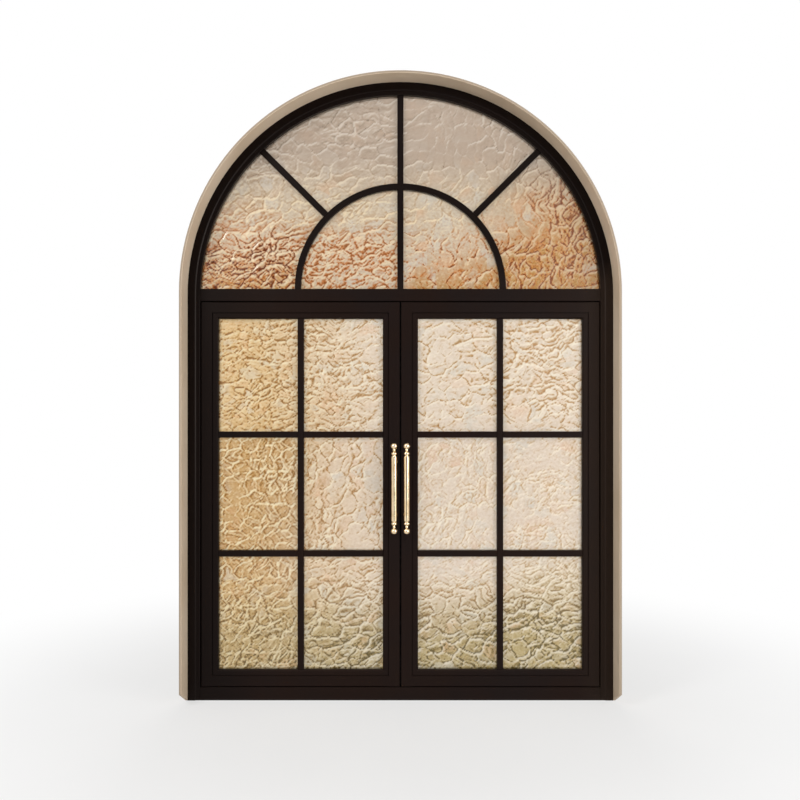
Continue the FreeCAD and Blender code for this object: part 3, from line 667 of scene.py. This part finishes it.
def makeSheet(name, node, body, archCentre=None):
    low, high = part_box(node)
    cells = [max(2, round((high[k] - low[k]) / (2 * ripple["pitch"]))) for k in (0, 2)]
    xs = np.linspace(low.x, high.x, 2 * cells[0] + 1)
    zs = np.linspace(low.z, high.z, 2 * cells[1] + 1)
    gridX, gridZ = np.meshgrid(xs, zs, indexing="ij")
    height, tone, honey, calm = glassRelief(gridX, gridZ)

    # marks for painted light and shade: walls lit and shaded from the upper left, painted shade in creases,
    # painted highlights on crests
    slopeX, slopeZ = np.gradient(height, xs, zs)
    bend = ripple["pitch"] * (np.gradient(slopeX, xs, axis=0) + np.gradient(slopeZ, zs, axis=1))
    lit = ripple["lightFrom"][0] * slopeX + ripple["lightFrom"][1] * slopeZ
    creaseShade = np.clip(calm * (0.7 * ease(-lit, 0.015, 0.10) + ease(bend, 0.02, 0.10)), 0, 1)
    marks = {
        "creaseShadeMark": 1 - (1 - creaseShade) ** 1.6,
        "crestHighlightMark": np.clip(0.8 * ease(lit, 0.025, 0.09) + 0.5 * ease(-bend, 0.022, 0.075), 0, 1),
        "plateTone": tone,
        "honeyCell": honey,
        "slopeShadingMark": 0.5 + 0.5 * np.tanh(lit / 0.05),
    }

    inside = np.ones(cells, bool)
    radius = high.x
    if archCentre is not None:
        reach = np.hypot(gridX, gridZ - archCentre)[::2, ::2] <= radius + 1e-6
        inside = reach[:-1, :-1] & reach[1:, :-1] & reach[:-1, 1:] & reach[1:, 1:]
    ids = np.arange(gridX.size).reshape(gridX.shape)
    frontFaces, backFaces, rimFaces, onRim = sheetFaces(inside, ids)
    flatX, flatZ = gridX.ravel().copy(), gridZ.ravel().copy()
    if archCentre is not None:  # the rim follows the arch, not the grid
        rim = np.array(onRim)
        rim = rim[flatZ[rim] > low.z + 1e-6]
        stretch = radius / np.hypot(flatX[rim], flatZ[rim] - archCentre)
        flatX[rim] *= stretch
        flatZ[rim] = archCentre + (flatZ[rim] - archCentre) * stretch

    most = ripple["mostRelief"]
    drop = most - most * np.tanh(ripple["relief"] * height.ravel() / most)  # stays within the sheet
    front = np.stack([flatX, low.y + ripple["faceIn"] + drop, flatZ], 1)
    back = np.stack([flatX, high.y - ripple["faceIn"] - ripple["backShare"] * drop, flatZ], 1)
    spots = np.concatenate([front, back])
    faces = frontFaces + backFaces + rimFaces
    used = np.zeros(len(spots), bool)
    for face in faces:
        used[face] = True
    order = np.cumsum(used) - 1
    mesh = bpy.data.meshes.new(name)
    mesh.from_pydata(spots[used].tolist(), [], [order[face].tolist() for face in faces])
    smooth = np.ones(len(faces), bool)
    smooth[len(frontFaces) + len(backFaces):] = False
    mesh.polygons.foreach_set("use_smooth", smooth)
    for label, values in marks.items():
        layer = mesh.attributes.new(label, "FLOAT", "POINT")
        both = np.concatenate([values.ravel(), values.ravel()])[used]
        layer.data.foreach_set("value", both.astype(np.float32))
    mesh.update()
    mesh.materials.append(finishes["textured_glass"])
    sheet = newObject(name, mesh)
    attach(sheet, body)
    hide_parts(node)
    print("glass sheet", name, len(mesh.polygons), "faces")


makeSheet("leftRippledGlass", "left_glass", "left_leaf")
makeSheet("rightRippledGlass", "right_glass", "right_leaf")
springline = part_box("reveal_lining_left")[1].z
makeSheet("fanRippledGlass", "fanlight_glass", "frame", springline)


# seals and fixings, at the places that the solids give
def newPiece(name, mesh, body, finish):
    bmesh.ops.recalc_face_normals(mesh, faces=mesh.faces)
    data = bpy.data.meshes.new(name)
    mesh.to_mesh(data)
    mesh.free()
    data.materials.append(finish)
    piece = newObject(name, data)
    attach(piece, body)
    print("fitting", name, len(data.polygons), "faces")


def bridge(mesh, one, two):  # faces between two rings of points
    count = len(one)
    for k in range(count):
        mesh.faces.new((one[k], one[(k + 1) % count], two[(k + 1) % count], two[k]))


def sweep(section, path, closed):  # carries a section of (across, depth) along a path of (x, z), mitred
    mesh = bmesh.new()
    rings = []
    for k, spot in enumerate(path):
        sides = []
        for start, end in ((k - 1, k), (k, k + 1)):
            if closed or 0 <= start and end < len(path):
                run = Vector(path[end % len(path)]) - Vector(path[start % len(path)])
                sides.append(Vector((run.y, -run.x)).normalized())  # to the right of the run
        side = sides[0] if len(sides) == 1 else (sides[0] + sides[1]) / (1 + sides[0].dot(sides[1]))
        rings.append([mesh.verts.new((spot[0] + a * side.x, y, spot[1] + a * side.y)) for a, y in section])
    for one, two in zip(rings, rings[1:]):
        bridge(mesh, one, two)
    if closed:
        bridge(mesh, rings[-1], rings[0])
    else:
        mesh.faces.new(rings[0])
        mesh.faces.new(rings[-1])
    return mesh


meetingSeal = {
    "lap": 0.0081,
    "lipThickness": 0.0012,
    "middle": 0.012,
    "halfLip": 0.010,
    "halfBulb": 0.006,
    "endClear": 0.002,
    "steps": 10,
}


def makeMeetingSeal():
    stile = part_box("left_meeting_stile")
    seal = meetingSeal
    lip, middle, halfLip = seal["lipThickness"], seal["middle"], seal["halfLip"]
    section = [(0, middle - halfLip), (lip, middle - halfLip)]
    for k in range(seal["steps"] + 1):
        turn = math.pi * k / seal["steps"]
        bulge = (seal["lap"] - lip) * math.sin(turn)
        section.append((lip + bulge, middle - seal["halfBulb"] * math.cos(turn)))
    section += [(lip, middle + halfLip), (0, middle + halfLip)]
    edge = stile[1].x
    path = [(edge, stile[0].z + seal["endClear"]), (edge, stile[1].z - seal["endClear"])]
    newPiece("meetingSeal", sweep(section, path, False), "left_leaf", rubberFinish)


frameGasket = {
    "inFromEdge": 0.006,
    "lipDepth": 0.030,
    "halfFoot": 0.0046,
    "foot": 0.0008,
    "bulb": 0.0041,
    "rise": 0.0053,
    "steps": 10,
}


def makeFrameGasket():
    gasket = frameGasket
    sill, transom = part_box("threshold"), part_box("transom_rail")
    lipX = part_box("right_jamb")[0].x
    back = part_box("left_hinge_stile")[0].y + gasket["lipDepth"]  # back of the rebate lip
    half, top = gasket["halfFoot"], back + gasket["foot"]
    section = [(-half, back), (-half, top)]
    for k in range(gasket["steps"] + 1):
        turn = math.pi * k / gasket["steps"]
        lift = (gasket["rise"] - gasket["foot"]) * math.sin(turn)
        section.append((-gasket["bulb"] * math.cos(turn), top + lift))
    section += [(half, top), (half, back)]
    x = lipX + gasket["inFromEdge"]
    low, high = sill[1].z - gasket["inFromEdge"], transom[0].z + gasket["inFromEdge"]
    path = [(-x, low), (-x, high), (x, high), (x, low)]
    newPiece("frameGasket", sweep(section, path, True), "frame", rubberFinish)


def addHead(mesh, spot, outward, rings, steps, hexFrom=None):  # rings of (radius, height), from the base up
    outward = Vector(outward)
    one = outward.orthogonal().normalized()
    two = outward.cross(one)
    before = None
    for index, (radius, height) in enumerate(rings):
        ring = []
        for k in range(steps):
            turn = 2 * math.pi * k / steps
            reach = radius
            if hexFrom is not None and index >= hexFrom:  # flats of the hexagon socket
                reach = radius / math.cos((turn + math.pi / 6) % (math.pi / 3) - math.pi / 6)
            place = one * (reach * math.cos(turn)) + two * (reach * math.sin(turn)) + outward * height
            ring.append(mesh.verts.new(Vector(spot) + place))
        if before:
            bridge(mesh, before, ring)
        else:
            mesh.faces.new(ring)
        before = ring
    mesh.faces.new(before)


# the profiles are shares of the radius and the height
screwHead = {
    "radius": 0.0045,
    "height": 0.0019,
    "profile": ((1, 0), (1, 0.30), (0.90, 0.72), (0.72, 0.95), (0.58, 1)),
    "socket": 0.0017,
    "socketFloor": 0.15,
    "steps": 24,
}
fixingCap = {
    "radius": 0.0095,
    "height": 0.0024,
    "rim": 0.35,
    "domeTurns": (0.35, 0.7, 1.05, 1.35),
    "depth": 0.015,
    "heights": (0.25, 0.85, 1.45, 2.05),
    "steps": 28,
}


def makeScrews(name, spots, body):
    mesh = bmesh.new()
    radius, height, socket = screwHead["radius"], screwHead["height"], screwHead["socket"]
    rings = [(across * radius, up * height) for across, up in screwHead["profile"]]
    hexFrom = len(rings)
    rings += [(socket, height), (socket, screwHead["socketFloor"] * height)]
    for spot in spots:
        addHead(mesh, spot, (0, 1, 0), rings, screwHead["steps"], hexFrom)
    newPiece(name, mesh, body, screwFinish)


def makeCaps(side, sign):
    mesh = bmesh.new()
    radius, height, rim = fixingCap["radius"], fixingCap["height"], fixingCap["rim"]
    rings = [(radius, 0), (radius, rim * height)]
    for turn in fixingCap["domeTurns"]:
        rings.append((radius * math.cos(turn), height * (rim + (1 - rim) * math.sin(turn))))
    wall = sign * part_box("arch_bead")[1].x
    for z in fixingCap["heights"]:
        addHead(mesh, (wall, fixingCap["depth"], z), (-sign, 0, 0), rings, fixingCap["steps"])
    newPiece(side + "FixingCaps", mesh, "frame", capFinish)


hingeScrews = {
    "halfHinge": 0.060,
    "wingThickness": 0.004,
    "fromWingEnd": 0.014,
    "heights": (0.015, 0.045),
}


def makeHingeScrews(side, sign):
    pins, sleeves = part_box(side + "_hinge_pins"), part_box(side + "_hinge_sleeves")
    half, inset = hingeScrews["halfHinge"], hingeScrews["fromWingEnd"]
    lowest, highest = pins[0].z + half, sleeves[1].z - half
    levels = (lowest, (lowest + highest) / 2, highest)
    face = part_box(side + "_jamb")[1].y + hingeScrews["wingThickness"]
    jambX = sign * (max(abs(pins[0].x), abs(pins[1].x)) - inset)
    leafX = sign * (min(abs(sleeves[0].x), abs(sleeves[1].x)) + inset)
    onJamb = [(jambX, face, level - half + rise) for level in levels for rise in hingeScrews["heights"]]
    onLeaf = [(leafX, face, level + rise) for level in levels for rise in hingeScrews["heights"]]
    makeScrews(side + "JambHingeScrews", onJamb, "frame")
    makeScrews(side + "LeafHingeScrews", onLeaf, side + "_leaf")


beadScrews = {
    "archAngles": range(12, 169, 12),
    "alongTransom": 9,
    "transomReach": 0.98,
}


def makeBeadScrews():
    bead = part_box("arch_bead")
    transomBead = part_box("transom_bead")
    middle = (bead[1].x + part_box("right_jamb")[0].x) / 2
    spots = []
    for angle in beadScrews["archAngles"]:
        turn = math.radians(angle)
        spots.append((middle * math.cos(turn), bead[1].y, springline + middle * math.sin(turn)))
    beadZ = (transomBead[0].z + transomBead[1].z) / 2
    reach = beadScrews["transomReach"]
    for x in np.linspace(-reach, reach, beadScrews["alongTransom"]):
        spots.append((float(x), transomBead[1].y, beadZ))
    makeScrews("fanBeadScrews", spots, "frame")


makeMeetingSeal()
makeFrameGasket()
makeBeadScrews()
for side, sign in (("left", -1), ("right", 1)):
    makeHingeScrews(side, sign)
    makeCaps(side, sign)
print("seals and fixings fitted")


# floor, light and camera
studio = {
    "floorSize": 30,
    "floorSteps": 12,
    "floorColours": {"face": (214, 213, 211), "shade": (206, 205, 203)},
    "floorScale": 0.6,
    "nearGlow": 0.60,
    "whiteFrom": 0.9,
    "whiteBy": 3.6,
    "ambient": 0.42,
    "aim": (0, 0, 1.6),
    "lamps": {
        "keyLamp": {"place": (-4.2, -5.0, 5.2), "power": 255, "size": 2.6},
        "fillLamp": {"place": (4.6, -4.2, 2.2), "power": 225, "size": 3.2},
        "backLamp": {"place": (0.0, 6.5, 6.0), "power": 150, "size": 4.0},
    },
    "flagHalfWidth": 1.9,
    "flagFoot": 0.05,
    "flagTop": 5.0,
    "flagAway": -6.4,
    "flagColours": {"cloth": (52, 46, 42), "thread": (66, 60, 54)},
    "threadScale": 30,
}
plainWhite = (1, 1, 1, 1)


def seenDirectly(wire):  # 1 for camera, mirror and see-through rays
    path = wire.node("ShaderNodeLightPath", None, None, "Is Camera Ray")
    either = wire.maths("MAXIMUM", path["Is Glossy Ray"], path["Is Transmission Ray"])
    return wire.maths("MAXIMUM", path, either)


def matt(wire, colour):
    return surface(wire, {"Base Color": colour, "Roughness": 1.0, "Specular IOR Level": 0.0})


def makeFloor():
    half, count = studio["floorSize"] / 2, studio["floorSteps"]
    row = count + 1
    steps = np.linspace(-half, half, row)
    spots = [(x, y, 0) for x in steps for y in steps]
    faces = []
    for i in range(count):
        for j in range(count):
            corner = i * row + j
            faces.append((corner, corner + row, corner + row + 1, corner + 1))
    mesh = bpy.data.meshes.new("studioFloor")
    mesh.from_pydata(spots, [], faces)
    floor = newObject("studioFloor", mesh)
    material, wire, place = newFinish("paleFloor")
    tint = paints(studio["floorColours"])
    cloud = speckle(wire, place, studio["floorScale"], 3)
    shaded = matt(wire, cloud.rise(0.3, 0.7).tint(tint["face"], tint["shade"]))
    glow = wire.node("ShaderNodeEmission", None, {"Color": plainWhite, "Strength": 1.0})
    distance = wire.node("ShaderNodeVectorMath", {"operation": "LENGTH"}, {0: place}, "Value")
    away = distance.rise(studio["whiteFrom"], studio["whiteBy"])
    near = studio["nearGlow"]
    share = seenDirectly(wire) * (near + (1 - near) * away)
    finishOff(wire, wire.node("ShaderNodeMixShader", None, {0: share, 1: shaded, 2: glow}))
    mesh.materials.append(material)


def makeFlag():  # dark cloth behind the camera, seen only in polished surfaces
    across, low, high = studio["flagHalfWidth"], studio["flagFoot"], studio["flagTop"]
    away = studio["flagAway"]
    spots = [(-across, away, low), (across, away, low), (across, away, high), (-across, away, high)]
    mesh = bpy.data.meshes.new("studioFlag")
    mesh.from_pydata(spots, [], [(0, 1, 2, 3)])
    flag = newObject("studioFlag", mesh)
    material, wire, place = newFinish("flagCloth")
    tint = paints(studio["flagColours"])
    weave = speckle(wire, place, studio["threadScale"])
    finishOff(wire, matt(wire, weave.tint(tint["cloth"], tint["thread"])))
    mesh.materials.append(material)
    flag.visible_camera = flag.visible_diffuse = flag.visible_transmission = flag.visible_shadow = False


def makeLamp(name, place, power, size):
    lamp = bpy.data.lights.new(name, "AREA")
    lamp.energy = power
    lamp.shape = "DISK"
    lamp.size = size
    holder = newObject(name, lamp)
    holder.location = place
    holder.rotation_euler = (Vector(studio["aim"]) - Vector(place)).to_track_quat("-Z", "Y").to_euler()
    holder.visible_transmission = False  # no burnt-out spots in the glass


def makeWorld():
    world = bpy.data.worlds.new("softStudio")
    bpy.context.scene.world = world
    world.use_nodes = True
    world.node_tree.nodes.clear()
    wire = Wire(world.node_tree)
    soft = wire.node("ShaderNodeBackground", None, {"Color": plainWhite, "Strength": studio["ambient"]})
    white = wire.node("ShaderNodeBackground", None, {"Color": plainWhite, "Strength": 1.0})
    sky = wire.node("ShaderNodeMixShader", None, {0: seenDirectly(wire), 1: soft, 2: white})
    finishOff(wire, sky, "ShaderNodeOutputWorld")


makeFloor()
makeFlag()
makeWorld()
for name, lamp in studio["lamps"].items():
    makeLamp(name, **lamp)
print("studio ready")

viewpoint = {
    "place": (-0.0022, -5.035, 1.652),
    "lens": 40.9,
    "sensor": 36,
}
camera = newObject("camera", bpy.data.cameras.new("camera"))
camera.location = viewpoint["place"]
camera.rotation_euler = (math.radians(90), 0, 0)
camera.data.lens = viewpoint["lens"]
camera.data.sensor_width = viewpoint["sensor"]
bpy.context.scene.camera = camera
bpy.context.scene.view_settings.view_transform = "Standard"
